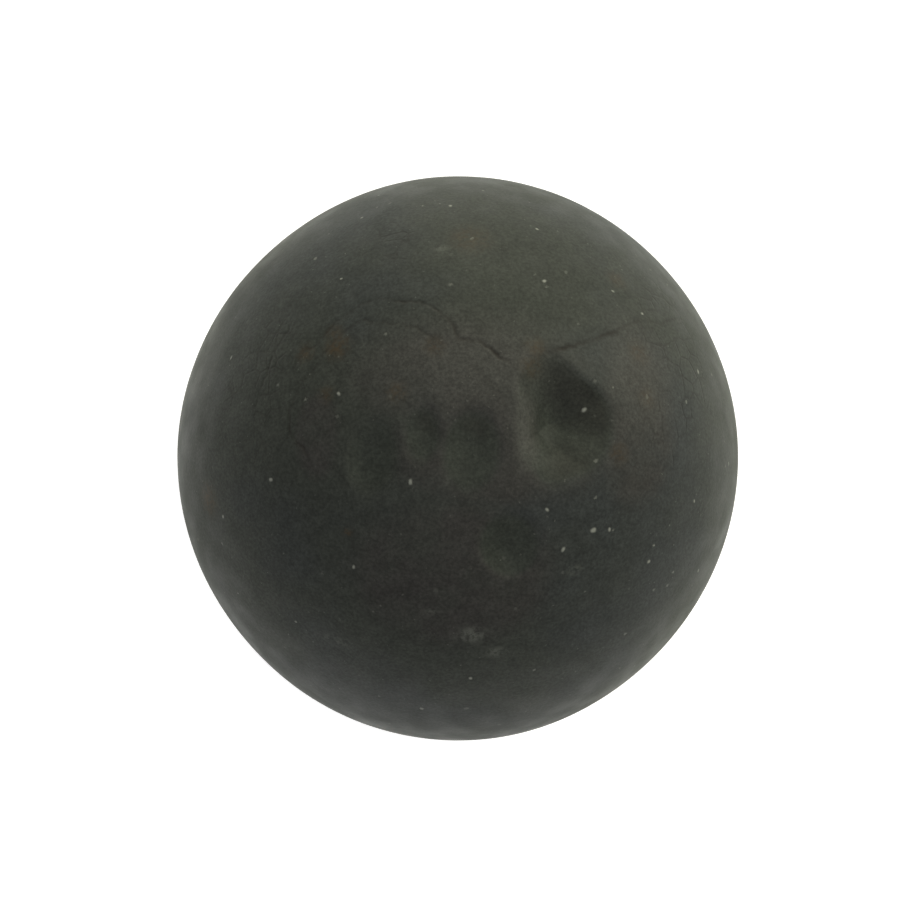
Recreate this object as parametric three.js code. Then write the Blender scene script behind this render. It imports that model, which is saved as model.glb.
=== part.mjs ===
// Case opening friction ball: a hollow rubber ball that a watchmaker presses on a screw-down case back and turns.
// Two moulded half shells are cemented together round the equator. A needle valve sits in the lower one, in the
// middle of the flat land that the ball rests on. The ball has gone a little soft, so it is slightly out of round
// and carries a thumb dent and a few shallow finger dents on top.
// Sizes are in millimetres, +Z is up, and the origin is the centre of the land.
import * as THREE from 'three';

// Driving dimensions
const BALL_DIAMETER = 65;
const WALL = 5;
const LAND_DIAMETER = 13; // the flat round the valve
const FIT_GAP = 0.3; // between any two pieces that touch
const CEMENT_THICKNESS = 0.5;
const VALVE_HOLE_DIAMETER = 8.6;
const WASHER_THICKNESS = 0.4; // the film of cement that holds the valve's flange
const FLANGE_DIAMETER = 18;
const FLANGE_THICKNESS = 2.2;
const BOSS_DIAMETER = 11;
const BOSS_TOP = 13;
const FACE_RECESS = 0.4; // from the land up to the valve's outer face
const PLUG_DIAMETER = 3.8;
const COLLAR_DIAMETER = 5.6;
const COLLAR_BOTTOM = 7.3;
const COLLAR_HEIGHT = 2;
const PLUG_TOP = 12.6;
const NEEDLE_HOLE_DIAMETER = 1;
const NEEDLE_HOLE_DEPTH = 5;
const PLUG_RECESS = 0.2; // from the valve's outer face up to the plug's

// How finely the round pieces are faceted: steps round the axis, and steps along each half shell's profile
const BALL_SEGMENTS = 80;
const VALVE_SEGMENTS = 36;
const UPPER_OUTER_STEPS = 28;
const UPPER_INNER_STEPS = 12;
const LOWER_OUTER_STEPS = 18;
const LOWER_INNER_STEPS = 10;

const outerRadius = BALL_DIAMETER / 2;
const innerRadius = outerRadius - WALL;
const landRadius = LAND_DIAMETER / 2;
const holeRadius = VALVE_HOLE_DIAMETER / 2;
const centreHeight = Math.sqrt(outerRadius ** 2 - landRadius ** 2);
const lipHeight = CEMENT_THICKNESS / 2 + FIT_GAP; // from the joint's mid-plane to each half shell's lip

// The outline's bulges, seen from above: how many, how high, and the direction of one of them from +X in degrees
const BULGES = [
  { count: 2, height: 0.12, towards: 78 },
  { count: 3, height: 0.05, towards: 41 },
  { count: 4, height: 0.08, towards: 87 },
];
const BULGE_FADE = [100, 150]; // degrees from the top, over which the bulges fade out, so that the land stays flat

// Finger dents: the centre east and north of the top, along the surface, then half width, half length, the turn of
// the long axis from north in degrees, depth, how far the deepest place leans across and along as shares of the
// half sizes, and how softly the rim fades
const FINGER_DENTS = [
  { east: -8.8, north: 0.2, halfWidth: 3.5, halfLength: 4.8, turn: 10, depth: 0.8, lean: [-0.3, -0.1], softness: 1.7 },
  { east: -3.7, north: 2.4, halfWidth: 2.5, halfLength: 3.9, turn: 0, depth: 0.55, lean: [0, 0.1], softness: 1.6 },
  { east: 1.5, north: 0.6, halfWidth: 3.7, halfLength: 5.4, turn: 5, depth: 0.8, lean: [-0.1, 0.1], softness: 1.6 },
  { east: 5.7, north: -9.1, halfWidth: 3.8, halfLength: 4.2, turn: -20, depth: 1, lean: [-0.25, -0.25], softness: 1.6 },
];

// The thumb dent is a hollow between walls. Each wall has a place on its rim east and north of the hollow's middle,
// the direction of its fall in degrees from east, its width, and how fast it levels off.
const THUMB_DENT = {
  east: 11.7,
  north: 3.4,
  depth: 3.4,
  walls: [
    { east: 2.8, north: 4.8, direction: 231, width: 5.8, levelling: 1.6 },
    { east: 6.4, north: -0.8, direction: 158, width: 6.2, levelling: 1.5 },
    { east: -1.0, north: -7.6, direction: 118, width: 7.0, levelling: 1 },
    { east: -3.6, north: -5.8, direction: 52, width: 5.0, levelling: 1.2 },
    { east: -5.3, north: -0.4, direction: 0, width: 9.0, levelling: 3.2 },
    { east: -4.6, north: 7.2, direction: 308, width: 7.0, levelling: 2 },
  ],
};
const DENT_REACH = 60; // degrees from a dent's middle, beyond which it is not worked out

// The unit vector from the ball's centre to a place east and north of the top.
function placeOnTop(east, north) {
  const tilt = Math.hypot(east, north) / outerRadius;
  const direction = Math.atan2(north, east);
  return new THREE.Vector3(
    Math.sin(tilt) * Math.cos(direction),
    Math.sin(tilt) * Math.sin(direction),
    Math.cos(tilt),
  );
}

// How much the bulges lift the surface along a unit vector from the ball's centre.
function bulgeHeight(unit) {
  const around = Math.atan2(unit.y, unit.x);
  const sideways = Math.hypot(unit.x, unit.y) ** 2;
  const tilt = THREE.MathUtils.radToDeg(Math.acos(THREE.MathUtils.clamp(unit.z, -1, 1)));
  const fade = 1 - THREE.MathUtils.smoothstep(tilt, ...BULGE_FADE);
  const sum = BULGES.reduce((total, bulge) => {
    const angle = around - THREE.MathUtils.degToRad(bulge.towards);
    return total + bulge.height * Math.cos(bulge.count * angle);
  }, 0);
  return sum * sideways * fade;
}

// How far a unit vector's point on the ball is across and along from a dent's middle, or null when it is far off.
function placeInDent(dent, unit) {
  const middle = placeOnTop(dent.east, dent.north);
  if (unit.angleTo(middle) > THREE.MathUtils.degToRad(DENT_REACH)) return null;
  const turn = THREE.MathUtils.degToRad(dent.turn ?? 0);
  const across = new THREE.Vector3(Math.cos(turn), -Math.sin(turn), 0).projectOnPlane(middle).normalize();
  const along = new THREE.Vector3().crossVectors(middle, across);
  return new THREE.Vector2(outerRadius * unit.dot(across), outerRadius * unit.dot(along));
}

// How deep one finger dent is: a bowl whose deepest place leans to one side, so that its wall is steeper there.
function fingerDentDepth(dent, unit) {
  const place = placeInDent(dent, unit);
  if (!place) return 0;
  const lean = new THREE.Vector2(...dent.lean);
  const away = new THREE.Vector2(place.x / dent.halfWidth, place.y / dent.halfLength).sub(lean);
  const room = 1 - lean.lengthSq();
  const outwards = away.dot(lean);
  const share = (outwards + Math.sqrt(outwards ** 2 + room * away.lengthSq())) / room;
  return share < 1 ? dent.depth * (1 - share * share) ** dent.softness : 0;
}

// How deep the thumb dent is: its walls are steepest at their rim and level off towards its floor.
function thumbDentDepth(unit) {
  const place = placeInDent(THUMB_DENT, unit);
  if (!place) return 0;
  return THUMB_DENT.walls.reduce((depth, wall) => {
    const direction = THREE.MathUtils.degToRad(wall.direction);
    const inwards = (place.x - wall.east) * Math.cos(direction) + (place.y - wall.north) * Math.sin(direction);
    const share = THREE.MathUtils.clamp(inwards / wall.width, 0, 1);
    return depth * (1 - (1 - share) ** wall.levelling);
  }, THUMB_DENT.depth);
}

// Moves each point of a ball-centred geometry along its own radius to give the ball its real, slightly soft form.
// The wall keeps its thickness, because its inner points move as far as its outer ones.
function softened(geometry) {
  const points = geometry.getAttribute('position');
  const point = new THREE.Vector3();
  const unit = new THREE.Vector3();
  for (let i = 0; i < points.count; i += 1) {
    point.fromBufferAttribute(points, i);
    unit.copy(point).normalize();
    const dented = FINGER_DENTS.reduce((total, dent) => total + fingerDentDepth(dent, unit), thumbDentDepth(unit));
    point.addScaledVector(unit, bulgeHeight(unit) - dented);
    points.setXYZ(i, point.x, point.y, point.z);
  }
  return geometry;
}

// Points of a ball-centred arc, as radius and height, between two angles from the top.
function arc(radius, fromTilt, toTilt, steps) {
  return Array.from({ length: steps + 1 }, (_, i) => {
    const tilt = fromTilt + ((toTilt - fromTilt) * i) / steps;
    return new THREE.Vector2(Math.max(0, radius * Math.sin(tilt)), radius * Math.cos(tilt));
  });
}

// A solid turned about Z from a profile of radius and height.
function turned(profile, segments) {
  return new THREE.LatheGeometry(profile, segments).rotateX(Math.PI / 2);
}

function profileOf(pairs) {
  return pairs.map(([radius, height]) => new THREE.Vector2(radius, height));
}

function closed(profile) {
  return [...profile, profile[0].clone()];
}

function rubber(colour, roughness) {
  return new THREE.MeshStandardMaterial({ color: colour, roughness, metalness: 0 });
}

const shellRubber = rubber(0x33352f, 0.7);
const cementRubber = rubber(0x2a2a28, 0.5);
const housingRubber = rubber(0x26282a, 0.6);
const plugGum = rubber(0x8a5a34, 0.75);

function piece(name, geometry, material) {
  const mesh = new THREE.Mesh(geometry, material);
  mesh.name = name;
  return mesh;
}

// A domed bowl, open at its lip on the joint plane.
function upperHalfShell() {
  const outerLip = Math.acos(lipHeight / outerRadius);
  const innerLip = Math.acos(lipHeight / innerRadius);
  const profile = [
    ...arc(innerRadius, 0, innerLip, UPPER_INNER_STEPS),
    ...arc(outerRadius, outerLip, 0, UPPER_OUTER_STEPS),
  ];
  return piece('upper_half_shell', softened(turned(profile, BALL_SEGMENTS)), shellRubber);
}

// The other bowl, with the flat land on its underside and the valve's hole through the middle of it.
function lowerHalfShell() {
  const outerLip = Math.acos(-lipHeight / outerRadius);
  const innerLip = Math.acos(-lipHeight / innerRadius);
  const landTilt = Math.PI - Math.asin(landRadius / outerRadius);
  const holeTilt = Math.PI - Math.asin(holeRadius / innerRadius);
  const profile = [
    new THREE.Vector2(holeRadius, -centreHeight),
    ...arc(outerRadius, landTilt, outerLip, LOWER_OUTER_STEPS),
    ...arc(innerRadius, innerLip, holeTilt, LOWER_INNER_STEPS),
  ];
  return piece('lower_half_shell', softened(turned(closed(profile), BALL_SEGMENTS)), shellRubber);
}

// The film of cured rubber cement between the two lips, as wide as the wall.
function seamCementRing() {
  const half = CEMENT_THICKNESS / 2;
  const profile = profileOf([
    [innerRadius, -half],
    [outerRadius, -half],
    [outerRadius, half],
    [innerRadius, half],
  ]);
  return piece('seam_cement_ring', softened(turned(closed(profile), BALL_SEGMENTS)), cementRubber);
}

// The point of a sphere about the ball's centre that is so far from the ball's axis, on its lower side. Its height
// is from the land.
function lowPoint(sphereRadius, axisDistance) {
  return new THREE.Vector2(axisDistance, centreHeight - Math.sqrt(sphereRadius ** 2 - axisDistance ** 2));
}

// Points along such a sphere between two distances from the axis.
function lowArc(sphereRadius, fromDistance, toDistance, steps) {
  return Array.from({ length: steps + 1 }, (_, i) => (
    lowPoint(sphereRadius, fromDistance + ((toDistance - fromDistance) * i) / steps)
  ));
}

// The film of cured cement between the lower half shell's inner face and the valve's flange.
function valveCementWasher() {
  const outerFace = innerRadius - FIT_GAP;
  const innerFace = outerFace - WASHER_THICKNESS;
  const profile = [
    ...lowArc(outerFace, holeRadius, FLANGE_DIAMETER / 2, 3),
    ...lowArc(innerFace, FLANGE_DIAMETER / 2, holeRadius, 3),
  ];
  return piece('valve_cement_washer', turned(closed(profile), VALVE_SEGMENTS), cementRubber);
}

// A flanged sleeve cemented inside the lower half shell. Its neck fills the shell's hole, and a groove in its bore
// holds the plug's collar. Heights are from the land.
function valveHousing() {
  const seatRadius = innerRadius - WASHER_THICKNESS - 2 * FIT_GAP;
  const backRadius = seatRadius - FLANGE_THICKNESS;
  const flangeRadius = FLANGE_DIAMETER / 2;
  const neckRadius = holeRadius - FIT_GAP;
  const bossRadius = BOSS_DIAMETER / 2;
  const boreRadius = PLUG_DIAMETER / 2 + FIT_GAP;
  const grooveRadius = COLLAR_DIAMETER / 2 + FIT_GAP;
  const grooveBottom = COLLAR_BOTTOM - FIT_GAP;
  const grooveTop = COLLAR_BOTTOM + COLLAR_HEIGHT + FIT_GAP;
  const mouthChamfer = 0.4;
  const topBevel = 1;
  const profile = [
    ...profileOf([
      [boreRadius + mouthChamfer, FACE_RECESS],
      [neckRadius, FACE_RECESS],
    ]),
    ...lowArc(seatRadius, neckRadius, flangeRadius, 2),
    ...lowArc(backRadius, flangeRadius, bossRadius, 2),
    ...profileOf([
      [bossRadius, BOSS_TOP - topBevel],
      [bossRadius - topBevel, BOSS_TOP],
      [boreRadius, BOSS_TOP],
      [boreRadius, grooveTop + FIT_GAP],
      [grooveRadius, grooveTop],
      [grooveRadius, grooveBottom],
      [boreRadius, grooveBottom - FIT_GAP],
      [boreRadius, FACE_RECESS + mouthChamfer],
    ]),
  ];
  return piece('valve_housing', turned(closed(profile), VALVE_SEGMENTS), housingRubber);
}

// The soft gum plug that seals itself round an inflating needle. Its needle hole opens in the outer face and ends
// inside the plug, where the rubber closes the needle's slit.
function valvePlug() {
  const radius = PLUG_DIAMETER / 2;
  const needleRadius = NEEDLE_HOLE_DIAMETER / 2;
  const face = FACE_RECESS + PLUG_RECESS;
  const countersink = 0.5;
  const collarTop = COLLAR_BOTTOM + COLLAR_HEIGHT;
  const collarBevel = 0.3;
  const noseBevel = 0.6;
  const profile = profileOf([
    [0, face + NEEDLE_HOLE_DEPTH],
    [needleRadius, face + NEEDLE_HOLE_DEPTH - needleRadius],
    [needleRadius, face + countersink],
    [needleRadius + countersink, face],
    [radius, face],
    [radius, COLLAR_BOTTOM - collarBevel],
    [COLLAR_DIAMETER / 2, COLLAR_BOTTOM + collarBevel],
    [COLLAR_DIAMETER / 2, collarTop - collarBevel],
    [radius, collarTop],
    [radius, PLUG_TOP - noseBevel],
    [radius - noseBevel, PLUG_TOP],
    [0, PLUG_TOP],
  ]);
  return piece('valve_plug', turned(profile, VALVE_SEGMENTS), plugGum);
}

const shell = new THREE.Group();
shell.position.z = centreHeight;
shell.add(upperHalfShell(), lowerHalfShell(), seamCementRing());

const valve = new THREE.Group();
valve.add(valveCementWasher(), valveHousing(), valvePlug());

const frictionBall = new THREE.Group();
frictionBall.add(shell, valve);

export default frictionBall;
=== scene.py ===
"""The looks of a used friction ball for opening watch cases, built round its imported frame.

Shapes are worked out in millimetres from the ball's centre and are placed in metres in the frame at the end.
"""
import math

import bmesh
import bpy
import numpy as np
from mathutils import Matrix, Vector, kdtree, noise

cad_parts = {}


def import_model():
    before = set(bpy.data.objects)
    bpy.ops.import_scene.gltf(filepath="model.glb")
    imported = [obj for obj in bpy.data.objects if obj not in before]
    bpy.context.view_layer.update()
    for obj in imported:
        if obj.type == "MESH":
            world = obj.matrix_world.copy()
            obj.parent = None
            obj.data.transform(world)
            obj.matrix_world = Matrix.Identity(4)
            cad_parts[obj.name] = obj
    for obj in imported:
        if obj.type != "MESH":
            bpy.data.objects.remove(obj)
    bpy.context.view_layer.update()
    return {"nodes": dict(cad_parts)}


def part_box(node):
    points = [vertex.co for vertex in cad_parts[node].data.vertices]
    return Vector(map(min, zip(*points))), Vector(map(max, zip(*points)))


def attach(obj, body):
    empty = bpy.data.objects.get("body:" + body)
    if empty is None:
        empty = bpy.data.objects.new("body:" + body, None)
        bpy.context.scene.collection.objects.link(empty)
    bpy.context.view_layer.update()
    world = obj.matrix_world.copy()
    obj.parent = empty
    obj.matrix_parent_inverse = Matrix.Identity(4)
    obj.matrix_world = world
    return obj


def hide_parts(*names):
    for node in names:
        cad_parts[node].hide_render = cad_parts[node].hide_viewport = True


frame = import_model()

MM = 0.001
ON_PLANE = 0.01  # a point this near to a plane or a radius counts as on it


# ---------------------------------------------------------------- measures from the frame


def node_radii(node):
    """How far each point of a CAD node is from the ball's axis, and how high, in millimetres."""
    points = np.array([v.co for v in frame["nodes"][node].data.vertices]) / MM
    return np.hypot(points[:, 0], points[:, 1]), points[:, 2]


def foot_radii():
    """The radii of the valve's hole and of the flat land round it."""
    radius, height = node_radii("lower_half_shell")
    foot = radius[height < ON_PLANE]
    return foot.min(), foot.max()


def wall_thickness():
    """The shell's wall, which is as thick as the cement ring is wide."""
    radius, _ = node_radii("seam_cement_ring")
    middle = (radius.min() + radius.max()) / 2
    return radius[radius > middle].mean() - radius[radius < middle].mean()


def half_way_up(node):
    low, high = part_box(node)
    return (low.z + high.z) / 2 / MM


HOLE_R, LAND_R = foot_radii()
CENTRE = half_way_up("seam_cement_ring")
BALL_R = math.hypot(CENTRE, LAND_R)
CHAMBER_R = BALL_R - wall_thickness()

# ---------------------------------------------------------------- the ball's form

# The outline's bulges: how many round the ball, how high, and the direction of one from +X in degrees
BULGES = [(2, 0.12, 78), (3, 0.05, 41), (4, 0.08, 87)]
BULGE_FADE = (100, 150)  # degrees from the top, over which the bulges fade out towards the land

# Finger dents: east and north of the top along the surface, half width, half length, turn from north in
# degrees, depth, how far the deepest place leans across and along as shares of the half sizes, and how softly
# the rim fades
DENTS = [
    (-8.8, 0.2, 3.5, 4.8, 10, 0.8, -0.3, -0.1, 1.7),
    (-3.7, 2.4, 2.5, 3.9, 0, 0.55, 0.0, 0.1, 1.6),
    (1.5, 0.6, 3.7, 5.4, 5, 0.8, -0.1, 0.1, 1.6),
    (5.7, -9.1, 3.8, 4.2, -20, 1.0, -0.25, -0.25, 1.6),
]

# The thumb dent is a hollow between walls: its middle east and north of the top, and its depth; then for each
# wall a place on its rim east and north of the middle, the direction of its fall in degrees from east, its
# width, and how fast it levels off
THUMB_PLACE = (11.7, 3.4)
THUMB_DEPTH = 3.4
THUMB_WALLS = [
    (2.8, 4.8, 231, 5.8, 1.6),
    (6.4, -0.8, 158, 6.2, 1.5),
    (-1.0, -7.6, 118, 7.0, 1.0),
    (-3.6, -5.8, 52, 5.0, 1.2),
    (-5.3, -0.4, 0, 9.0, 3.2),
    (-4.6, 7.2, 308, 7.0, 2.0),
]
THUMB_RIM_ROUNDING = 0.35
THUMB_WANDER = 0.4  # how far the walls stray from straight
THUMB_WANDER_SIZE = 3

# Unevenness of the moulded surface: size of its lumps and their height
LUMPS = [(14, 0.05), (4.5, 0.008), (1.6, 0.005)]
LUMPS_START = 4  # how far outside the flat land they reach their full height

# The dip of the skin beside the seam: its depth and half width
SEAM_DIP = 0.12
SEAM_DIP_WIDTH = 0.45

# Cracks and laps in the skin: width, depth at the start and at the end, and places east and north of the top
CRACKS = [
    (0.22, 0.1, 0.06, [(6, 10), (4.5, 11), (2.5, 12.5), (0, 13), (-0.5, 14.5), (-1.5, 15.5)]),
    (0.2, 0.055, 0.035, [
        (-1.5, 15.5), (-3, 17), (-5.5, 17.5), (-9, 18), (-11, 17.5), (-14, 15.5), (-16, 13), (-18, 12),
        (-19, 10),
    ]),
    (0.25, 0.085, 0.04, [(10, 11.5), (15.5, 13.5), (18, 14.5), (20.5, 16), (23, 17)]),
    (0.18, 0.05, 0.03, [(23, 17), (25.5, 17), (28.5, 18.5), (31, 19)]),
    (0.18, 0.035, 0.025, [
        (-0.5, 12), (-3.5, 13.5), (-5, 14.5), (-8.5, 15), (-11, 15.5), (-13, 14), (-14.5, 12.5), (-16, 10),
        (-17.5, 8.5),
    ]),
    (0.2, 0.04, 0.045, [(-17.5, 8.5), (-19, 5.5), (-19, 3), (-17.5, 1.5), (-16.5, 0)]),
    (0.15, 0.04, 0.02, [(-22, 12.5), (-22.5, 10.5), (-23.5, 8), (-24, 6)]),
    (0.15, 0.04, 0.02, [(-20, 16), (-21, 14), (-22, 12.5)]),
    (0.15, 0.035, 0.02, [(6.5, 9), (7, 8), (8, 7.5)]),
    (0.15, 0.03, 0.02, [(1.5, 10), (3, 8.5), (4, 7.5), (4.5, 6.5)]),
]
CRACK_STEP = 0.12
CRACK_WANDER = 0.26
CRACK_BENDS = (0.9, 0.35)  # the size of a crack's long and short bends
CRACK_PATCHINESS = 1.3  # the size of its deeper and shallower stretches
# Cracks get painted shade, darker the deeper they are
CRACK_FULL = 0.09  # a crack this deep is as dark as it gets

# Pale specks of talc and dust: east, north, size
SPECKS = [
    (-21.5, -2.5, 0.4), (-13, 7, 0.3), (-5, -2.5, 0.4), (14.5, 5.5, 0.4), (15, -8, 0.5), (9.5, -5.5, 0.35),
    (17, -8, 0.3), (11.5, -10, 0.35), (23, -12.5, 0.35), (23.5, -10.5, 0.25), (1.5, -26.5, 0.35),
    (-11.5, -12, 0.3), (10, 20.5, 0.35), (-14, 21.5, 0.25), (10, 29, 0.3), (-1, 33, 0.35), (-30, -7.5, 0.35),
    (19, 20.5, 0.25), (30, -5.5, 0.3), (32, 11.5, 0.35), (-29.5, 13, 0.3), (23, 18, 0.3),
]

SPECK_HEIGHT = 0.03
SPECK_RAGGED = 0.35  # the share by which a fleck's rim and length vary, and the size of its teeth

# Rusty and yellow stains: east, north, size, strength
STAINS = [
    (1.5, 26.5, 2, 0.45), (-17.5, 12, 1, 0.5), (-14, 14, 1, 0.5), (-13.5, 12.5, 1.3, 0.75),
    (-2.5, 12, 1, 0.4), (8.5, 12, 1, 0.5), (8, 10, 1.2, 0.4), (-6.5, 7, 1, 0.45), (-14.5, 7, 0.8, 0.5),
    (21.5, 12.5, 1.2, 0.4), (22, 7, 1, 0.4), (18, 0.5, 1, 0.5), (20, 22.5, 1.1, 0.4), (-33, -5.5, 1.6, 0.7),
    (-12, -8, 0.4, 1),
]
STAIN_SPREAD = 1.7  # from a stain's size to the half width at which it has quite faded

# Broad brown patches, where handling has worn the greenish bloom off: east, north, half width, half height
WARM_PATCHES = [
    (0, 8.5, 14, 6.5), (-0.5, -13, 14, 11), (20.5, 2.5, 7, 10), (-15.5, 2.5, 3.5, 6), (5, 1, 16, 8),
]

# Patches made paler: the first two by handling; the third, on the thumb dent's west wall, is a painted
# highlight where that wall faces the light. East, north, half width, half height, and the share left in dents
PALE_PATCHES = [(1, 10.5, 17, 8, 0.55), (21.5, 9.5, 7, 10, 0.55), (7.3, 3.2, 2.7, 7, 1)]

# Painted shade in the dents, on their walls that face away from the lights: east, north, half width, half
# height, turn in degrees, strength
PAINTED_DENT_SHADE_PATCHES = [
    (15.2, 6.4, 8, 4.3, 42, 1), (12.6, -2.4, 4.4, 5, 10, 1), (-2.6, 4.4, 2.4, 2.4, 0, 0.9),
    (3, 4, 3.6, 2.2, 0, 0.9),
]

# Pale scuffs, and one painted highlight on the thumb dent's west wall: east, north, half width, half height,
# strength
SCUFFS_AND_HIGHLIGHT = [
    (1.5, -20, 2.6, 1.6, 0.9), (4.5, -22.5, 2.2, 1.2, 0.7), (-3, -17, 1.4, 0.7, 0.5),
    (-14.5, -22, 3.2, 1.2, 0.4), (13, -12.5, 1.5, 0.6, 0.6), (-2, 25, 1.3, 0.9, 0.6),
    # A painted highlight on the thumb dent's lit west wall
    (7.2, 2.5, 1.6, 5.5, 0.22),
    (40, -12, 3.5, 1.5, 0.5), (-38, 21, 2.5, 3.5, 0.5), (12, -44, 4.5, 1.2, 0.5), (-30, -36, 2, 3, 0.4),
    (24, 62, 3.5, 1.5, 0.5), (-66, 18, 2, 4, 0.6), (-34, -60, 4, 1.5, 0.4), (70, -22, 2, 3.5, 0.5),
]

# Crazed patches, where the old skin is full of hair cracks: east, north, half width, half height
CRAZED = [(27, 8, 9, 20), (-24, 9, 8, 14), (-2, 27, 16, 6)]

PATCH_REACH = 0.5  # the cosine of the angle from a patch's middle beyond which it is not worked out
FAR_AWAY = 99
BUFFED_BAND = 1.6  # how far from the seam the skin is buffed


def on_top(east, north):
    """The unit vectors from the ball's centre to places east and north of its top, along the surface."""
    tilt = np.hypot(east, north) / BALL_R
    direction = np.arctan2(north, east)
    return np.stack([np.sin(tilt) * np.cos(direction), np.sin(tilt) * np.sin(direction), np.cos(tilt)], -1)


def smooth_step(low, high, value):
    """0 up to the low value, 1 from the high value on, and a smooth rise between them."""
    share = np.clip((value - low) / (high - low), 0, 1)
    return share * share * (3 - 2 * share)


def lumps(points, size, seed):
    """Smooth noise, about -1 to 1, whose lumps are so many millimetres wide."""
    shift = Vector((seed * 17.3, seed * 5.9, seed * 11.1))
    return np.array([noise.noise(Vector(p) / size + shift) for p in points.tolist()])


def bulge_height(units):
    """How far the slightly unround outline stands off a circle, fading out towards the top and the land."""
    around = np.arctan2(units[:, 1], units[:, 0])
    tilt = np.degrees(np.arccos(np.clip(units[:, 2], -1, 1)))
    total = np.zeros(len(units))
    for count, height, towards in BULGES:
        total += height * np.cos(count * (around - math.radians(towards)))
    sideways = units[:, 0] ** 2 + units[:, 1] ** 2
    return total * sideways * (1 - smooth_step(*BULGE_FADE, tilt))


def patch_coordinates(units, east, north, half_width, half_height, turn=0):
    """How far points are from a patch's middle across and along it, as shares of its half sizes."""
    middle = on_top(east, north)
    turn = math.radians(turn)
    across = np.array([math.cos(turn), -math.sin(turn), 0])
    across -= across.dot(middle) * middle
    across /= np.linalg.norm(across)
    along = np.cross(middle, across)
    share = np.stack([units @ across * BALL_R / half_width, units @ along * BALL_R / half_height], -1)
    share[units @ middle < PATCH_REACH] = FAR_AWAY
    return share


def bowl(share, softness=2.0):
    """1 in its middle and 0 at its rim; the softer it is, the more level it meets what is round it."""
    return (1 - np.clip(share, 0, 1) ** 2) ** softness


def patch(units, *where):
    """1 in the middle of an oval patch and 0 outside it."""
    return bowl(np.linalg.norm(patch_coordinates(units, *where), axis=1))


def finger_dents(units):
    """Each dent is a bowl whose deepest place leans to one side, so that its wall is steeper there."""
    total = np.zeros(len(units))
    for *where, depth, lean_across, lean_along, softness in DENTS:
        lean = np.array([lean_across, lean_along])
        away = patch_coordinates(units, *where) - lean
        room = 1 - lean @ lean
        outwards = away @ lean
        share = (outwards + np.sqrt(outwards**2 + room * (away**2).sum(axis=1))) / room
        total += depth * bowl(share, softness)
    return total


def thumb_dent(units):
    """A hollow whose walls are steepest at their rim and level off towards its floor."""
    place = patch_coordinates(units, *THUMB_PLACE, 1, 1)
    place[:, 0] += THUMB_WANDER * lumps(units * BALL_R, THUMB_WANDER_SIZE, 51)
    place[:, 1] += THUMB_WANDER * lumps(units * BALL_R, THUMB_WANDER_SIZE, 52)
    fill = np.ones(len(units))
    for east, north, direction, width, levelling in THUMB_WALLS:
        fall = [math.cos(math.radians(direction)), math.sin(math.radians(direction))]
        inwards = (place - [east, north]) @ fall
        past_rim = (inwards + np.hypot(inwards, THUMB_RIM_ROUNDING)) / 2
        fill *= 1 - (1 - np.clip(past_rim / width, 0, 1)) ** levelling
    return THUMB_DEPTH * fill


def dent_depth(units):
    return finger_dents(units) + thumb_dent(units)


def broad_form(units):
    """How far the surface stands off the true sphere, without its fine detail."""
    return bulge_height(units) - dent_depth(units)


def wander(flat, seed):
    """How a crack bends to one side or the other along its way."""
    long_bend, short_bend = CRACK_BENDS
    return CRACK_WANDER * (lumps(flat, long_bend, seed) + 0.4 * lumps(flat, short_bend, seed + 1))


def crack_samples():
    """Points close together along every crack, with its width and its depth there."""
    samples = []
    for number, (width, first_depth, last_depth, places) in enumerate(CRACKS):
        places = np.array(places)
        reach = np.concatenate([[0], np.cumsum(np.linalg.norm(np.diff(places, axis=0), axis=1))])
        steps = np.arange(0, reach[-1], CRACK_STEP)
        east = np.interp(steps, reach, places[:, 0])
        north = np.interp(steps, reach, places[:, 1])
        flat = np.stack([east, north, np.full_like(east, number)], -1)
        east = east + wander(flat, 3)
        north = north + wander(flat, 5)
        share = steps / reach[-1]
        ends = smooth_step(0, 0.06, share) * (1 - smooth_step(0.94, 1, share))
        uneven = np.clip(0.9 + 0.9 * lumps(flat, CRACK_PATCHINESS, 7), 0.15, 1.6)
        depth = (first_depth + (last_depth - first_depth) * share) * (0.35 + 0.65 * ends) * uneven
        samples.append(np.column_stack([on_top(east, north) * BALL_R, np.full_like(east, width), depth]))
    return np.concatenate(samples)


def tree_of(points):
    tree = kdtree.KDTree(len(points))
    for index, point in enumerate(points.tolist()):
        tree.insert(point, index)
    tree.balance()
    return tree


crack_line = crack_samples()
crack_tree = tree_of(crack_line[:, :3])
speck_places = np.array([on_top(east, north) * BALL_R for east, north, _ in SPECKS])
speck_tree = tree_of(speck_places)
speck_sizes = np.array([size for _, _, size in SPECKS])


def nearest(tree, points):
    """The nearest of the tree's points to each point, and how far it is."""
    found = [tree.find(p) for p in points.tolist()]
    return np.array([index for _, index, _ in found]), np.array([distance for _, _, distance in found])


def crack_depth(units):
    """How deep the nearest crack is at each point, falling off to its sides."""
    index, distance = nearest(crack_tree, units * BALL_R)
    width, depth = crack_line[index, 3], crack_line[index, 4]
    return depth * np.exp(-((distance / width) ** 2))


def speck_cover(units):
    """1 on a pale speck and 0 off it; each speck is a ragged, slightly long fleck."""
    index, distance = nearest(speck_tree, units * BALL_R)
    ragged = 1 + SPECK_RAGGED * lumps(units * BALL_R, SPECK_RAGGED, 8)
    towards = units * BALL_R - speck_places[index]
    lean = index * 2.4
    along = (towards[:, 0] * np.cos(lean) + towards[:, 1] * np.sin(lean)) / (distance + 1e-6)
    stretch = 1 - SPECK_RAGGED * along**2
    return 1 - smooth_step(0.3, 1, distance * stretch / (0.7 * speck_sizes[index] * ragged))


def seam_groove(height):
    """How far the skin dips beside the joint of the two half shells."""
    return SEAM_DIP * np.exp(-((height / SEAM_DIP_WIDTH) ** 2))


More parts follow.
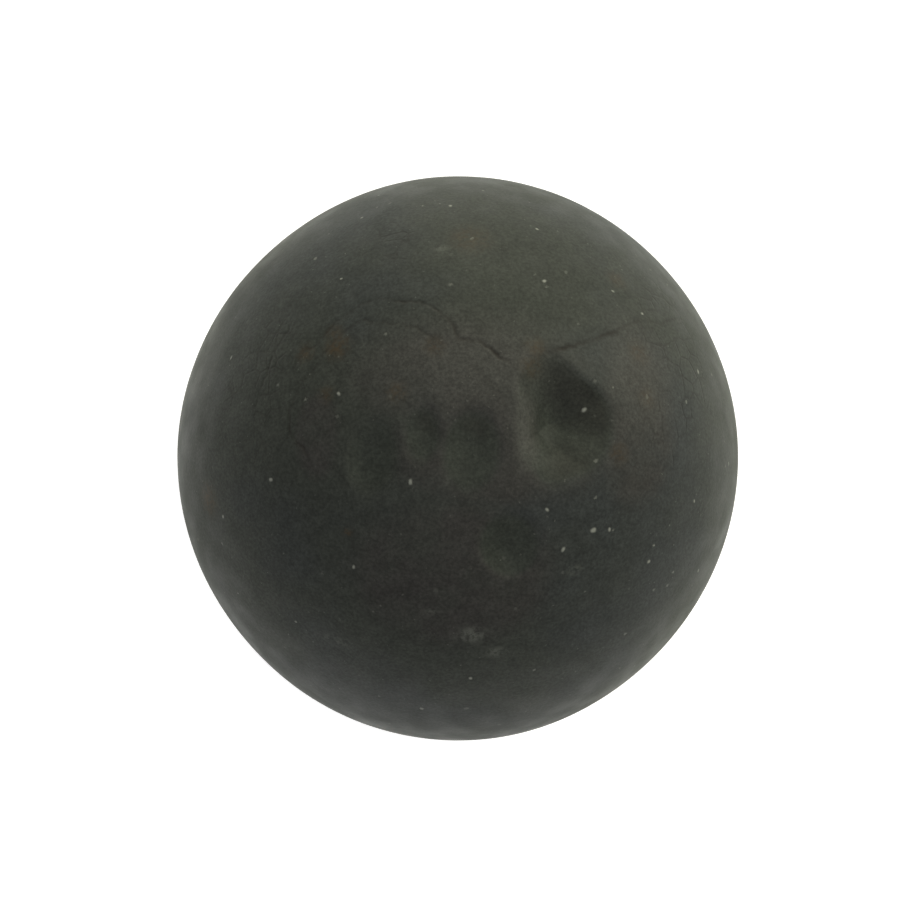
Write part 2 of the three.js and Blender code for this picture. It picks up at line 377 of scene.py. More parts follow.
def fine_form(units):
    """The fine detail of the outer skin on top of the broad form."""
    points = units * BALL_R
    uneven = sum(height * lumps(points, size, 20 + number) for number, (size, height) in enumerate(LUMPS))
    from_land = np.where(points[:, 2] < 0, np.hypot(points[:, 0], points[:, 1]), FAR_AWAY)
    outside_land = smooth_step(LAND_R, LAND_R + LUMPS_START, from_land)
    return uneven * outside_land - seam_groove(points[:, 2])


# ---------------------------------------------------------------- meshes

DOME_STEPS = 112  # rings from the top to the seam; ring k has 4k points
CHAMBER_STEPS = 28
SEGMENTS = 4 * DOME_STEPS
LOWER_STEPS = 96  # from the land to the seam on the outside, and from the seam to the hole on the inside
LOWER_CHAMBER_STEPS = 24
LIP = 0.2  # from the joint's mid-plane to each visible lip
LIP_CURVE = [(0.02, 0.5), (0.06, 0.36), (0.14, 0.26), (0.26, LIP)]  # inwards from the skin, and height
SKIN_BAND = 0.2  # points less than this far inside the ball's radius are on the skin
HOLE_ROUNDING = 0.35
LAND_ROUNDING = 0.5
LAND_ROUNDING_END = 0.7  # where the round skin starts, outside the land

# The cement bead's crest: inwards from its outermost line, and height as a share of its half height
BEAD_CREST = [(0.2, 1), (0.08, 0.8), (0, 0)]
BEAD_INSET = 0.1  # from the skin to the bead's outermost line
BEAD_GAP = 0.02  # from the bead to each lip
BEAD_LUMPS = [(2.2, 0.05, 31), (0.7, 0.03, 32)]  # size, height and seed of its unevenness

# The longest edges that the detail of the skin allows, and how far round a crack or a fleck they stay short
COARSE_EDGE = 9.0
DENT_EDGE = 0.26
CRACK_EDGE = 0.16
CRACK_MARGIN = 0.75
SPECK_EDGE = 0.12
SPECK_MARGIN = 0.12
EDGE_SLACK = 1.35  # an edge is split when it is this many times too long
REFINE_ROUNDS = 3


def ring(radius, height, count):
    around = np.arange(count) * 2 * np.pi / count
    return np.stack([radius * np.cos(around), radius * np.sin(around), np.full(count, float(height))], -1)


def dome_rings(radius, steps, last_tilt):
    """A dome's points from its top down, ring by ring: the top point, then 4, 8, 12 ... points."""
    rings = [np.array([[0, 0, radius]])]
    for k in range(1, steps + 1):
        tilt = last_tilt * k / steps
        rings.append(ring(radius * math.sin(tilt), radius * math.cos(tilt), 4 * k))
    return rings


def dome_faces(steps, first):
    """Triangles over a dome's rings, whose points start at index first, with their faces outwards."""
    faces = []
    for k in range(steps):
        upper = first + (0 if k == 0 else 1 + 2 * k * (k - 1))
        lower = first + 1 + 2 * k * (k + 1)
        upper_count, lower_count = max(1, 4 * k), 4 * (k + 1)
        for quarter in range(4):
            for j in range(k + 1):
                here = lower + (quarter * (k + 1) + j) % lower_count
                after = lower + (quarter * (k + 1) + j + 1) % lower_count
                above = upper + (quarter * k + j) % upper_count
                faces.append((above, here, after))
                if j < k:
                    faces.append((above, after, upper + (quarter * k + j + 1) % upper_count))
    return faces


def band_faces(upper, lower, count):
    """Quads between two rings of the same count, with their faces outwards."""
    return [(upper + i, lower + i, lower + (i + 1) % count, upper + (i + 1) % count) for i in range(count)]


def stitched_faces(outer, outer_count, inner, inner_count):
    """Triangles from a fine ring to a coarser one inside it, seen from below."""
    ratio = outer_count // inner_count
    faces = []
    for i in range(outer_count):
        own = inner + i // ratio
        faces.append((outer + i, own, outer + (i + 1) % outer_count))
        if i % ratio == ratio - 1:
            faces.append((outer + (i + 1) % outer_count, own, inner + (i // ratio + 1) % inner_count))
    return faces


def mesh_object(name, points, faces):
    mesh = bpy.data.meshes.new(name)
    mesh.from_pydata(points.tolist(), [], faces)
    made = bpy.data.objects.new(name, mesh)
    bpy.context.scene.collection.objects.link(made)
    return made


def points_of(mesh):
    points = np.empty(len(mesh.vertices) * 3)
    mesh.vertices.foreach_get("co", points)
    return points.reshape(-1, 3)


def set_points(mesh, points):
    mesh.vertices.foreach_set("co", points.ravel())
    mesh.update()


def upper_shell_mesh():
    """A closed bowl as a plain shape: outer dome, rounded lip, inner dome."""
    skin_tilt = math.acos(LIP_CURVE[0][1] / BALL_R)
    outer = dome_rings(BALL_R, DOME_STEPS, skin_tilt)
    lip = [ring(BALL_R - inset, height, SEGMENTS) for inset, height in LIP_CURVE[1:]]
    chamber = dome_rings(CHAMBER_R, CHAMBER_STEPS, math.acos(LIP / CHAMBER_R))
    outer_total = sum(len(r) for r in outer)
    last_outer = outer_total - SEGMENTS
    faces = dome_faces(DOME_STEPS, 0)
    for number in range(len(lip)):
        faces += band_faces(last_outer + number * SEGMENTS, last_outer + (number + 1) * SEGMENTS, SEGMENTS)
    chamber_first = outer_total + len(lip) * SEGMENTS
    chamber_count = 4 * CHAMBER_STEPS
    chamber_last = chamber_first + 1 + 2 * CHAMBER_STEPS * (CHAMBER_STEPS - 1)
    faces += [face[::-1] for face in dome_faces(CHAMBER_STEPS, chamber_first)]
    faces += stitched_faces(chamber_first - SEGMENTS, SEGMENTS, chamber_last, chamber_count)
    return mesh_object("upper_shell_skin", np.concatenate(outer + lip + chamber), faces)


def turned_object(name, profile, count):
    """A closed ring turned about Z from a closed profile of radius and height, given anticlockwise."""
    rings = [ring(radius, height, count) for radius, height in profile]
    faces = []
    for number in range(len(rings)):
        after = (number + 1) % len(rings)
        faces += band_faces(after * count, number * count, count)
    return mesh_object(name, np.concatenate(rings), faces)


def is_skin(points):
    """Which points are on the outer skin."""
    return np.linalg.norm(points, axis=1) > BALL_R - SKIN_BAND


def wanted_edge(units, skin):
    """The longest edge that the detail at each point allows."""
    points = units * BALL_R
    wanted = np.full(len(units), COARSE_EDGE)
    _, to_crack = nearest(crack_tree, points)
    index, to_speck = nearest(speck_tree, points)
    wanted[dent_depth(units) > 0.02] = DENT_EDGE
    wanted[to_crack < CRACK_MARGIN] = CRACK_EDGE
    wanted[to_speck < speck_sizes[index] + SPECK_MARGIN] = SPECK_EDGE
    wanted[~skin] = COARSE_EDGE
    return wanted


def refine(made, rounds):
    """Splits the skin's edges where its detail is finer than they are."""
    for _ in range(rounds):
        points = points_of(made.data)
        skin = is_skin(points)
        units = points / np.linalg.norm(points, axis=1)[:, None]
        longest = EDGE_SLACK * wanted_edge(units, skin)
        bm = bmesh.new()
        bm.from_mesh(made.data)
        long_edges = []
        for edge in bm.edges:
            a, b = (vert.index for vert in edge.verts)
            if skin[a] and skin[b] and edge.calc_length() > min(longest[a], longest[b]):
                long_edges.append(edge)
        bmesh.ops.subdivide_edges(bm, edges=long_edges, cuts=1, use_grid_fill=True)
        bmesh.ops.triangulate(bm, faces=[f for f in bm.faces if len(f.verts) > 3])
        for vert in bm.verts:
            if vert.index < 0 or vert.index >= len(points):
                vert.co = vert.co.normalized() * BALL_R
        bm.to_mesh(made.data)
        bm.free()


def paint(mesh, name, values):
    """Writes a value from 0 to 1 for each point, under a name that a material can read."""
    attribute = mesh.attributes.new(name, "FLOAT", "POINT")
    attribute.data.foreach_set("value", np.clip(values, 0, 1).astype(np.float32))


def strongest(layers):
    """The strongest of overlapping layers at each point."""
    return np.maximum.reduce(list(layers))


def paint_skin(made, units, skin, crack, speck):
    """Writes what lies on the skin as point values, which its material reads."""
    dented = dent_depth(units)
    hollow = smooth_step(0.03, 0.4, dented)
    stain = strongest(
        strength * patch(units, east, north, STAIN_SPREAD * size, STAIN_SPREAD * size)
        for east, north, size, strength in STAINS
    )
    warm = smooth_step(0, 0.45, strongest(patch(units, *where) for where in WARM_PATCHES))
    # Paler patches: handling wear, and a painted highlight on the thumb dent's west wall
    pale = strongest(
        patch(units, *where) * (1 - (1 - left_in_dents) * hollow) for *where, left_in_dents in PALE_PATCHES
    )
    # Painted shade on the dents' walls that face away from the lights, kept inside the dents
    painted_dent_shade = strongest(strength * patch(units, *where) ** 0.5 for *where, strength in PAINTED_DENT_SHADE_PATCHES)
    layers = {
        "stain": stain,
        "crazed": smooth_step(0, 0.6, strongest(patch(units, *where) for where in CRAZED)),
        "warm": warm * (1 - 0.8 * hollow),
        "hollow": hollow,
        "pale": pale,
        "painted_dent_shade": painted_dent_shade * smooth_step(0.05, 0.6, dented),
        "scuff_and_highlight": strongest(strength * patch(units, *where) for *where, strength in SCUFFS_AND_HIGHLIGHT),
        "crack": crack / CRACK_FULL,
        "speck": speck,
    }
    for name, values in layers.items():
        paint(made.data, name, np.where(skin, values, 0))
    paint(made.data, "buffed", np.exp(-((units[:, 2] * BALL_R / BUFFED_BAND) ** 2)))


def to_frame(made):
    """Moves a shape made about the ball's centre to its place in the frame, in metres."""
    set_points(made.data, (points_of(made.data) + [0, 0, CENTRE]) * MM)
    made.data.shade_smooth()


def upper_shell():
    """The upper bowl with its dents, cracks and flecks, on a mesh that is finer where they are."""
    made = upper_shell_mesh()
    refine(made, REFINE_ROUNDS)
    points = points_of(made.data)
    length = np.linalg.norm(points, axis=1)
    units = points / length[:, None]
    skin = is_skin(points)
    crack = np.where(skin, crack_depth(units), 0)
    speck = np.where(skin, speck_cover(units), 0)
    lift = broad_form(units) + np.where(skin, fine_form(units) - crack + SPECK_HEIGHT * speck, 0)
    set_points(made.data, units * (length + lift)[:, None])
    paint_skin(made, units, skin, crack, speck)
    to_frame(made)
    return made


def arc_profile(radius, from_tilt, to_tilt, steps):
    """Radius and height along a sphere about the ball's centre, between two angles from its top."""
    tilts = np.linspace(from_tilt, to_tilt, steps + 1)
    return [(radius * math.sin(t), radius * math.cos(t)) for t in tilts]


def rounded_corner(corner, before, after, radius, steps=4):
    """Points that round a profile's corner, given unit directions towards its neighbours."""
    corner, before, after = Vector(corner), Vector(before).normalized(), Vector(after).normalized()
    start, end = corner + before * radius, corner + after * radius
    made = []
    for i in range(steps + 1):
        t = i / steps
        point = start * (1 - t) ** 2 + corner * 2 * t * (1 - t) + end * t**2
        made.append((point.x, point.y))
    return made


def lower_shell():
    """The lower bowl, with its land, the valve's hole, a rounded lip and the chamber inside."""
    skin_tilt = math.acos(-LIP_CURVE[0][1] / BALL_R)
    land_tilt = math.pi - math.asin(LAND_R / BALL_R)
    hole_tilt = math.pi - math.asin(HOLE_R / CHAMBER_R)
    rise = (math.cos(math.pi - land_tilt), math.sin(math.pi - land_tilt))
    profile = rounded_corner((HOLE_R, -CENTRE), (0, 1), (1, 0), HOLE_ROUNDING)
    profile += rounded_corner((LAND_R, -CENTRE), (-1, 0), rise, LAND_ROUNDING)
    profile += arc_profile(BALL_R, land_tilt - LAND_ROUNDING_END / BALL_R, skin_tilt, LOWER_STEPS)
    profile += [(BALL_R - inset, -height) for inset, height in LIP_CURVE[1:]]
    profile += arc_profile(CHAMBER_R, math.acos(-LIP / CHAMBER_R), hole_tilt, LOWER_CHAMBER_STEPS)
    made = turned_object("lower_shell_skin", profile, SEGMENTS)
    points = points_of(made.data)
    length = np.linalg.norm(points, axis=1)
    units = points / length[:, None]
    skin = is_skin(points)
    lift = broad_form(units) + np.where(skin, fine_form(units), 0)
    set_points(made.data, units * (length + lift)[:, None])
    paint_skin(made, units, skin, np.zeros(len(units)), np.zeros(len(units)))
    to_frame(made)
    return made


def seam_bead():
    """The line of cement between the lips, squeezed out a little more in some places than in others."""
    half = LIP - BEAD_GAP
    outermost = BALL_R - BEAD_INSET
    rising = [(outermost - inset, -share * half) for inset, share in BEAD_CREST]
    mirrored = [(radius, -height) for radius, height in rising[-2::-1]]
    profile = [(CHAMBER_R, -half), *rising, *mirrored, (CHAMBER_R, half)]
    made = turned_object("seam_bead", profile, SEGMENTS)
    points = points_of(made.data)
    length = np.linalg.norm(points, axis=1)
    units = points / length[:, None]
    squeezed = sum(height * lumps(points, size, seed) for size, height, seed in BEAD_LUMPS)
    lift = bulge_height(units) + np.where(length > BALL_R - 0.5, squeezed, 0)
    set_points(made.data, units * (length + lift)[:, None])
    to_frame(made)
    return made


# ---------------------------------------------------------------- materials


class Nodes:
    """Short calls that add shader nodes to one material."""

    def __init__(self, name):
        self.material = bpy.data.materials.new(name)
        self.material.use_nodes = True
        self.tree = self.material.node_tree
        self.shader = self.tree.nodes["Principled BSDF"]
        self.place = self.add("ShaderNodeTexCoord").outputs["Object"]

    def add(self, kind, **settings):
        node = self.tree.nodes.new(kind)
        for key, value in settings.items():
            setattr(node, key, value)
        return node

    def link(self, source, socket):
        self.tree.links.new(source, socket)

    def attribute(self, name):
        return self.add("ShaderNodeAttribute", attribute_name=name).outputs["Fac"]

    def lumps(self, size_mm, detail=3.0, rough=0.55):
        """Noise from 0 to 1 whose lumps are so many millimetres wide."""
        node = self.add("ShaderNodeTexNoise")
        self.link(self.place, node.inputs["Vector"])
        node.inputs["Scale"].default_value = 1 / (size_mm * MM)
        node.inputs["Detail"].default_value = detail
        node.inputs["Roughness"].default_value = rough
        return node.outputs["Fac"]

    def math(self, operation, a, b=0.0, clamp=False):
        node = self.add("ShaderNodeMath", operation=operation, use_clamp=clamp)
        self.fill(node.inputs[0], a)
        self.fill(node.inputs[1], b)
        return node.outputs[0]

    def span(self, value, low, high, to_low=0.0, to_high=1.0):
        """Maps a value's range onto another, smoothly and without going past it."""
        node = self.add("ShaderNodeMapRange", interpolation_type="SMOOTHSTEP")
        self.link(value, node.inputs["Value"])
        for key, number in zip(("From Min", "From Max", "To Min", "To Max"), (low, high, to_low, to_high)):
            node.inputs[key].default_value = number
        return node.outputs["Result"]

    def mix(self, share, a, b, blend="MIX"):
        """Mixes two colours; each of the three values is a constant or another node's output."""
        node = self.add("ShaderNodeMix", data_type="RGBA", blend_type=blend, clamp_factor=True)
        colours = [socket for socket in node.inputs if socket.type == "RGBA"]
        self.fill(node.inputs["Factor"], share)
        self.fill(colours[0], a)
        self.fill(colours[1], b)
        return next(socket for socket in node.outputs if socket.type == "RGBA")

    def fill(self, socket, value):
        """Sets a socket to a colour or number, or links another node's output to it."""
        if isinstance(value, tuple):
            socket.default_value = (*value, 1)
        elif isinstance(value, (int, float)):
            socket.default_value = value
        else:
            self.link(value, socket)

    def grey(self, value):
        """A grey colour from a value."""
        node = self.add("ShaderNodeCombineColor")
        for socket in node.inputs:
            self.link(value, socket)
        return node.outputs["Color"]

    def height(self):
        """How high a point is in the frame, in metres."""
        split = self.add("ShaderNodeSeparateXYZ")
        self.link(self.place, split.inputs["Vector"])
        return split.outputs["Z"]

    def scattered_specks(self, cell_mm, share):
        """Small ragged flecks of many sizes and strengths, in a share of the cells of a random pattern."""
        ragged = self.add("ShaderNodeTexNoise")
        self.link(self.place, ragged.inputs["Vector"])
        ragged.inputs["Scale"].default_value = 1 / (0.3 * MM)
        shifted = self.add("ShaderNodeVectorMath", operation="MULTIPLY_ADD")
        self.link(ragged.outputs["Color"], shifted.inputs[0])
        shifted.inputs[1].default_value = (0.45 * MM,) * 3
        self.link(self.place, shifted.inputs[2])
        cells = self.add("ShaderNodeTexVoronoi", feature="F1")
        self.link(shifted.outputs["Vector"], cells.inputs["Vector"])
        cells.inputs["Scale"].default_value = 1 / (cell_mm * MM)
        split = self.add("ShaderNodeSeparateColor")
        self.link(cells.outputs["Color"], split.inputs["Color"])
        size = self.math("ADD", 0.03, self.math("MULTIPLY", split.outputs["Green"], 0.17))
        near = self.span(self.math("DIVIDE", cells.outputs["Distance"], size), 0.4, 1.0, 1, 0)
        chosen = self.span(split.outputs["Red"], 1 - share, 1 - 0.7 * share)
        strength = self.math("ADD", 0.15, self.math("MULTIPLY", split.outputs["Blue"], 0.85))
        return self.math("MULTIPLY", near, self.math("MULTIPLY", chosen, strength))

    def hair_cracks(self, cell_mm):
        """A broken net of thin lines between the cells of a random pattern."""
        cells = self.add("ShaderNodeTexVoronoi", feature="DISTANCE_TO_EDGE")
        self.link(self.place, cells.inputs["Vector"])
        cells.inputs["Scale"].default_value = 1 / (cell_mm * MM)
        line = self.span(cells.outputs["Distance"], 0.0, 0.09, 1, 0)
        return self.math("MULTIPLY", line, self.span(self.lumps(2.5 * cell_mm, 3), 0.45, 0.6))

    def bump(self, height, distance_mm, strength, after=None):
        """Relief from a height pattern, on top of other relief if there is any."""
        node = self.add("ShaderNodeBump")
        node.inputs["Distance"].default_value = distance_mm * MM
        node.inputs["Strength"].default_value = strength
        self.link(height, node.inputs["Height"])
        if after is not None:
            self.link(after, node.inputs["Normal"])
        return node.outputs["Normal"]


def skin_material():
    """Old black rubber: greenish bloom, brown handling wear, pale specks, rusty stains and a matte grain,
    with painted shade in the dents and cracks and a painted highlight on the thumb dent's west wall.
    """
    n = Nodes("old_black_rubber")
    bloom = (0.0268, 0.0294, 0.0244)
    brown = (0.0290, 0.0279, 0.0252)
    blue = (0.0250, 0.0276, 0.0266)
    green = (0.0252, 0.0282, 0.0230)
    pale = (0.0385, 0.0380, 0.0338)
    dust = (0.09, 0.095, 0.08)
    speck = (0.17, 0.175, 0.15)
    rust = (0.05, 0.033, 0.016)
    # Near-black: painted shade in the dents and cracks, and the dark lines of the hair cracks
    grime_and_shade = (0.011, 0.0085, 0.0065)

    cool_share = n.span(n.lumps(22, 2), 0.42, 0.66)
    colour = n.mix(cool_share, bloom, blue)
    patchy = n.span(n.lumps(5, 4), 0.3, 0.62)
    worn = n.math("ADD", 0.45, n.math("MULTIPLY", patchy, 0.55))
    colour = n.mix(n.math("MULTIPLY", n.attribute("warm"), worn), colour, brown)
    colour = n.mix(n.attribute("hollow"), colour, green)
    # Paler patches: handling wear, and a painted highlight on the thumb dent's west wall
    colour = n.mix(n.attribute("pale"), colour, pale)
    # Painted shade in the dents, mixed towards the near-black colour
    colour = n.mix(n.math("MULTIPLY", n.attribute("painted_dent_shade"), 0.4), colour, grime_and_shade)
    broad_mottle = n.span(n.lumps(1.5, 5, 0.62), 0.25, 0.75, 0.83, 1.18)
    colour = n.mix(1.0, colour, n.grey(broad_mottle), "MULTIPLY")
    fine_mottle = n.span(n.lumps(0.34, 3, 0.6), 0.25, 0.75, 0.74, 1.28)
    colour = n.mix(1.0, colour, n.grey(fine_mottle), "MULTIPLY")

    film_share = n.math("MULTIPLY", n.span(n.lumps(4, 6, 0.7), 0.46, 0.8), 0.06)
    colour = n.mix(film_share, colour, dust)
    # Pale scuff streaks, and a painted highlight on the thumb dent's west wall
    streak_share = n.math("MULTIPLY", n.attribute("scuff_and_highlight"), n.span(n.lumps(0.8, 5, 0.7), 0.4, 0.6))
    colour = n.mix(n.math("MULTIPLY", streak_share, 0.9), colour, dust)
    rust_share = n.math("MULTIPLY", n.attribute("stain"), n.span(n.lumps(0.5, 5, 0.7), 0.3, 0.66))
    colour = n.mix(rust_share, colour, rust)
    # Painted shade in the cracks, darker the deeper they are
    colour = n.mix(n.math("MULTIPLY", n.attribute("crack"), 0.75, True), colour, grime_and_shade)
    crazing = n.math("MULTIPLY", n.attribute("crazed"), n.hair_cracks(2.2))
    colour = n.mix(n.math("MULTIPLY", crazing, 0.3), colour, grime_and_shade)
    dusty = n.span(n.height(), 0.044, 0.062, 1, 0.6)
    for cell_mm, share, strength in [(1.7, 0.45, 0.8), (0.7, 0.5, 0.45)]:
        flecks = n.math("MULTIPLY", n.scattered_specks(cell_mm, share), strength)
        colour = n.mix(n.math("MULTIPLY", flecks, dusty), colour, speck)
    colour = n.mix(n.attribute("speck"), colour, speck)
    n.link(colour, n.shader.inputs["Base Color"])

    rough = n.span(n.lumps(3, 4), 0.3, 0.7, 0.45, 0.57)
    rough = n.math("ADD", rough, n.span(n.lumps(14, 3), 0.35, 0.65, 0.0, 0.07))
    rough = n.math("ADD", rough, n.math("MULTIPLY", n.attribute("buffed"), 0.12))
    n.link(rough, n.shader.inputs["Roughness"])
    n.shader.inputs["Specular IOR Level"].default_value = 0.1
    n.shader.inputs["Sheen Weight"].default_value = 0.035
    n.shader.inputs["Sheen Roughness"].default_value = 0.4
    n.shader.inputs["Sheen Tint"].default_value = (0.9, 1.0, 0.66, 1)

    grain = n.bump(n.lumps(0.22, 3, 0.6), 0.02, 0.3)
    normal = n.bump(n.lumps(0.9, 4, 0.6), 0.06, 0.38, grain)
    sound = n.math("SUBTRACT", 1.0, crazing)
    n.link(n.bump(sound, 0.05, 0.35, normal), n.shader.inputs["Normal"])
    return n.material


def plain_rubber(name, dark, light, roughness, grain_mm):
    """A cleaner rubber with cloudy colour, a film of dust in places and a fine grain."""
    n = Nodes(name)
    dust = (0.12, 0.12, 0.105)
    colour = n.mix(n.span(n.lumps(1.6, 4), 0.3, 0.7), dark, light)
    dust_share = n.math("MULTIPLY", n.span(n.lumps(0.9, 6, 0.7), 0.5, 0.72), 0.3)
    colour = n.mix(dust_share, colour, dust)
    n.link(colour, n.shader.inputs["Base Color"])
    rough = n.span(n.lumps(0.8, 3), 0.3, 0.7, roughness - 0.07, roughness + 0.07)
    n.link(rough, n.shader.inputs["Roughness"])
    n.shader.inputs["Specular IOR Level"].default_value = 0.3
    n.link(n.bump(n.lumps(grain_mm, 3), 0.02, 0.5), n.shader.inputs["Normal"])
    return n.material


# ---------------------------------------------------------------- the valve

VALVE_SEGMENTS = 128
ARC_STEPS = 12
WELD = 0.002  # points nearer than this are joined where a profile meets the axis
CLEARANCE = 0.3  # between the plug's collar and its groove
WAVES = 0.02  # the height of the valve pieces' moulded waviness

# The washer of squeezed cement: how far it stops short of the CAD washer's rims, and how ragged it is outside
WASHER_INSET = 0.1
WASHER_STEPS = 24
WASHER_RAGGED = 0.012
WASHER_RAGGED_BAND = 1.5

# The sleeve's sunk mouth: outwards from the bore, height above the face, rounding
SLEEVE_MOUTH = [(0, 0.1, 0.3), (0.9, 0.16, 0.2), (1.0, 0, 0.12)]

# The plug's needle hole: radius and distance below its blind end; then its dimple: radius, height, rounding
NEEDLE_TIP = [(0, 0), (0.3, 0.15), (0.45, 0.5)]
NEEDLE_DIMPLE = [(0.45, 0.7, 0), (0.62, 0.3, 0.12), (1.05, 0.02, 0.3)]
COLLAR_BEVEL = 0.3


def rounded(corners):
    """A closed profile from corners given as radius, height and rounding."""
    profile = []
    for number, (radius, height, rounding) in enumerate(corners):
        corner = Vector((radius, height))
        before = Vector(corners[number - 1][:2]) - corner
        after = Vector(corners[(number + 1) % len(corners)][:2]) - corner
        if rounding:
            profile += rounded_corner(corner, before, after, rounding)
        else:
            profile.append((radius, height))
    return profile


def low_arc(sphere_radius, from_radius, to_radius, steps=ARC_STEPS):
    """Unrounded corners, as radius and height, low on a sphere about the ball's centre."""
    radii = np.linspace(from_radius, to_radius, steps + 1)
    return [(r, CENTRE - math.sqrt(sphere_radius**2 - r**2), 0) for r in radii]


def from_centre(node):
    """How far each point of a low CAD node is from the ball's centre."""
    radius, height = node_radii(node)
    return np.hypot(radius, CENTRE - height)


def valve_object(name, corners, waves):
    """Turns a valve piece, in the frame, with a slight moulded waviness of the given height."""
    made = turned_object(name, rounded(corners), VALVE_SEGMENTS)
    points = points_of(made.data)
    radius = np.hypot(points[:, 0], points[:, 1])
    points[:, 2] += waves * lumps(points, 1.4, 41) * smooth_step(0, 1, radius)
    set_points(made.data, points * MM)
    bm = bmesh.new()
    bm.from_mesh(made.data)
    bmesh.ops.remove_doubles(bm, verts=bm.verts, dist=WELD * MM)
    bm.to_mesh(made.data)
    bm.free()
    made.data.shade_smooth()
    return made


def valve_washer():
    """The cement that squeezed out round the flange, a little ragged at its rim."""
    radius, _ = node_radii("valve_cement_washer")
    spheres = from_centre("valve_cement_washer")
    outer, inner = spheres.max(), spheres.min()
    narrow, wide = radius.min() + WASHER_INSET, radius.max() - WASHER_INSET
    corners = low_arc(outer, narrow, wide, WASHER_STEPS) + low_arc(inner, wide, narrow, WASHER_STEPS)
    made = valve_object("valve_washer", corners, 0.0)
    points = points_of(made.data) / MM
    radius = np.hypot(points[:, 0], points[:, 1])
    edge = smooth_step(radius.max() - WASHER_RAGGED_BAND, radius.max(), radius)
    points[:, :2] *= (1 + WASHER_RAGGED * edge * lumps(points, 1.8, 42))[:, None]
    set_points(made.data, points * MM)
    return made


def valve_sleeve():
    """The flanged sleeve: a neck that fills the shell's hole, a flange inside, a boss and a grooved bore."""
    radius, height = node_radii("valve_housing")
    face, top, flange, bore = height.min(), height.max(), radius.max(), radius.min()
    neck = radius[height < face + ON_PLANE].max()
    boss = radius[(height > top - 1.5) & (height < top)].max()
    rim = from_centre("valve_housing")[radius > flange - ON_PLANE]
    seat, back = rim.max(), rim.min()
    collar, collar_low, collar_high = collar_measures()
    groove = collar + CLEARANCE
    corners = [(bore + outwards, face + above, rounding) for outwards, above, rounding in SLEEVE_MOUTH]
    corners.append((neck, face, 0.3))
    corners += low_arc(seat, neck, flange)
    corners[-1] = (*corners[-1][:2], 0.3)
    corners += low_arc(back, flange, boss)
    corners += [
        (boss, top, 0.9),
        (bore, top, 0.3),
        (bore, collar_high + 2 * CLEARANCE, 0),
        (groove, collar_high + CLEARANCE, 0.15),
        (groove, collar_low - CLEARANCE, 0.15),
        (bore, collar_low - 2 * CLEARANCE, 0),
    ]
    return valve_object("valve_sleeve", corners, WAVES)


def collar_measures():
    """The plug collar's radius and its lower and upper height."""
    radius, height = node_radii("valve_plug")
    collar = radius.max()
    band = height[radius > collar - ON_PLANE]
    return collar, band.min() - COLLAR_BEVEL, band.max() + COLLAR_BEVEL


def valve_plug():
    """The gum plug, with a soft dimple round its needle hole and a collar half way up."""
    radius, height = node_radii("valve_plug")
    collar, collar_low, collar_high = collar_measures()
    face, top = height.min(), height.max()
    body = radius[height < face + ON_PLANE].max()
    hole_end = height[radius < ON_PLANE].min()
    corners = [(hole, hole_end - below, 0) for hole, below in NEEDLE_TIP]
    corners += [(hole, face + above, rounding) for hole, above, rounding in NEEDLE_DIMPLE]
    corners += [
        (body, face, 0.3),
        (body, collar_low - 0.1, 0.1),
        (collar, collar_low + 0.2, 0.2),
        (collar, collar_high - 0.2, 0.2),
        (body, collar_high + 0.1, 0.1),
        (body, top, 0.6),
        (0, top, 0),
    ]
    return valve_object("valve_gum_plug", corners, WAVES)


def finish_piece(made, material, slot, *nodes):
    """Gives a piece its material and its body, and hides the CAD nodes that it stands for."""
    made.data.materials.append(material)
    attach(made, "root")
    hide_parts(*nodes)


# ---------------------------------------------------------------- stage


SENSOR_MM = 36
LENS_MM = 101.2
CAMERA_DISTANCE = 300  # straight above the ball's centre
FLOOR_HALF = 3.0  # metres, as are the places and sizes of the lights
FLOOR_GLOW = 0.56
LIGHTS = [("key", (0.6, 0.47, 0.4), 4.7), ("back", (0.06, 0.95, 0.16), 4.4)]  # name, place, power
LIGHT_SIZE = 0.5
LIGHT_COLOUR = (1.0, 0.99, 0.78)
LIGHT_AIM = (0, 0, 0.03)
TENT = [(0.0, 0.42), (0.12, 0.27), (0.5, 0.3), (0.85, 0.98), (1.0, 1.2)]  # height in the sky, brightness


def camera():
    data = bpy.data.cameras.new("camera")
    data.sensor_width = SENSOR_MM
    data.lens = LENS_MM
    data.clip_start = 0.01
    made = bpy.data.objects.new("camera", data)
    made.location = (0, 0, (CENTRE + CAMERA_DISTANCE) * MM)
    bpy.context.scene.collection.objects.link(made)
    bpy.context.scene.camera = made


def floor():
    """A sheet of white paper, lit a little from below as on a light table."""
    mesh = bpy.data.meshes.new("floor")
    corners = [(-FLOOR_HALF, -FLOOR_HALF, 0), (FLOOR_HALF, -FLOOR_HALF, 0)]
    corners += [(FLOOR_HALF, FLOOR_HALF, 0), (-FLOOR_HALF, FLOOR_HALF, 0)]
    mesh.from_pydata(corners, [], [(0, 1, 2, 3)])
    made = bpy.data.objects.new("floor", mesh)
    bpy.context.scene.collection.objects.link(made)
    n = Nodes("white_paper")
    n.link(n.mix(n.lumps(40, 2), (0.9, 0.9, 0.895), (0.93, 0.93, 0.925)), n.shader.inputs["Base Color"])
    n.shader.inputs["Roughness"].default_value = 0.9
    n.shader.inputs["Specular IOR Level"].default_value = 0.1
    n.shader.inputs["Emission Color"].default_value = (1, 1, 1, 1)
    n.shader.inputs["Emission Strength"].default_value = FLOOR_GLOW
    mesh.materials.append(n.material)


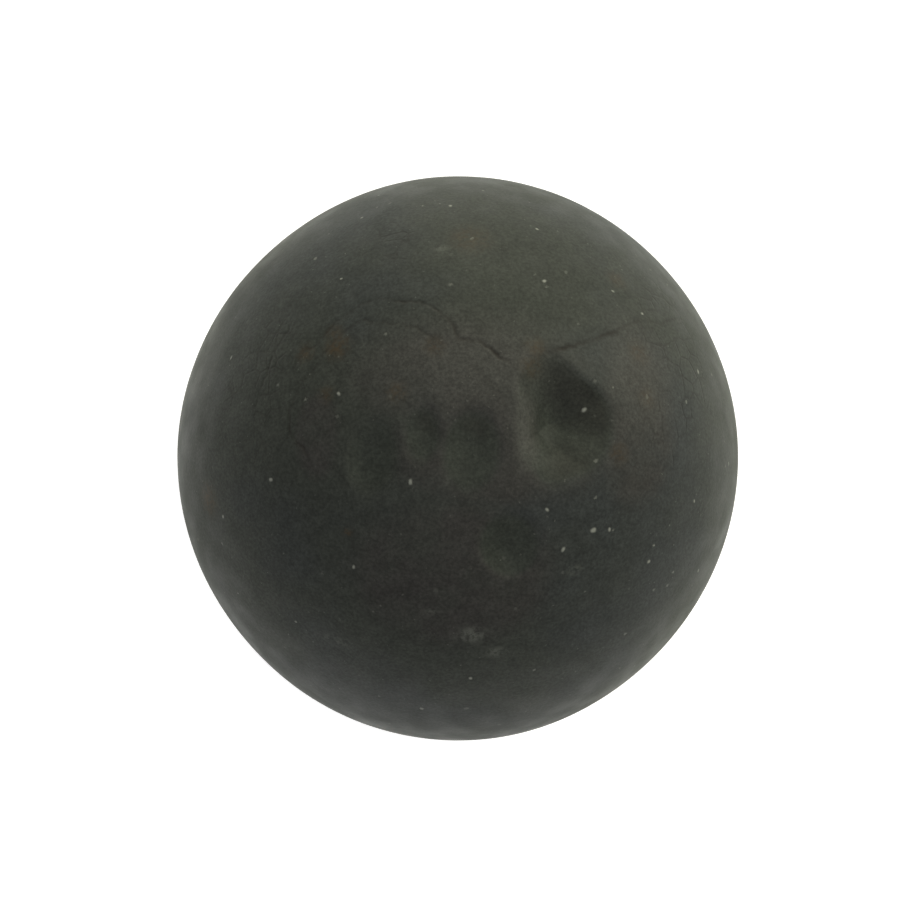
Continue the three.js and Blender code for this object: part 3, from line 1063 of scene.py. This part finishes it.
def area_light(name, place, power):
    """A round soft light, aimed at the ball."""
    data = bpy.data.lights.new(name, "AREA")
    data.color = LIGHT_COLOUR
    data.shape = "DISK"
    data.size = LIGHT_SIZE
    data.energy = power
    made = bpy.data.objects.new(name, data)
    made.location = place
    made.rotation_euler = (Vector(LIGHT_AIM) - Vector(place)).to_track_quat("-Z", "Y").to_euler()
    bpy.context.scene.collection.objects.link(made)


def world():
    """A soft white tent: bright overhead and dimmer round the sides."""
    made = bpy.data.worlds.new("tent")
    made.use_nodes = True
    tree = made.node_tree
    background = tree.nodes["Background"]
    direction = tree.nodes.new("ShaderNodeTexCoord")
    split = tree.nodes.new("ShaderNodeSeparateXYZ")
    ramp = tree.nodes.new("ShaderNodeValToRGB")
    tree.links.new(direction.outputs["Generated"], split.inputs["Vector"])
    tree.links.new(split.outputs["Z"], ramp.inputs["Fac"])
    elements = ramp.color_ramp.elements
    while len(elements) < len(TENT):
        elements.new(1.0)
    for element, (height, level) in zip(elements, TENT):
        element.position = height
        element.color = (level, level, level, 1)
    tree.links.new(ramp.outputs["Color"], background.inputs["Color"])
    background.inputs["Strength"].default_value = 1.0
    bpy.context.scene.world = made


def stage():
    camera()
    floor()
    world()
    for light in LIGHTS:
        area_light(*light)
    bpy.context.scene.view_settings.view_transform = "Standard"


# ---------------------------------------------------------------- the object

skin = skin_material()
cement = plain_rubber("dried_rubber_cement", (0.018, 0.017, 0.014), (0.034, 0.031, 0.026), 0.45, 0.3)
sleeve_rubber = plain_rubber("valve_sleeve_rubber", (0.016, 0.017, 0.018), (0.03, 0.031, 0.03), 0.5, 0.25)
gum = plain_rubber("aged_gum_rubber", (0.13, 0.052, 0.02), (0.24, 0.11, 0.045), 0.6, 0.2)

finish_piece(upper_shell(), skin, "black_rubber", "upper_half_shell")
finish_piece(lower_shell(), skin, "black_rubber", "lower_half_shell")
finish_piece(seam_bead(), cement, "rubber_cement", "seam_cement_ring")
finish_piece(valve_washer(), cement, "rubber_cement", "valve_cement_washer")
finish_piece(valve_sleeve(), sleeve_rubber, "valve_rubber", "valve_housing")
finish_piece(valve_plug(), gum, "plug_gum", "valve_plug")

stage()
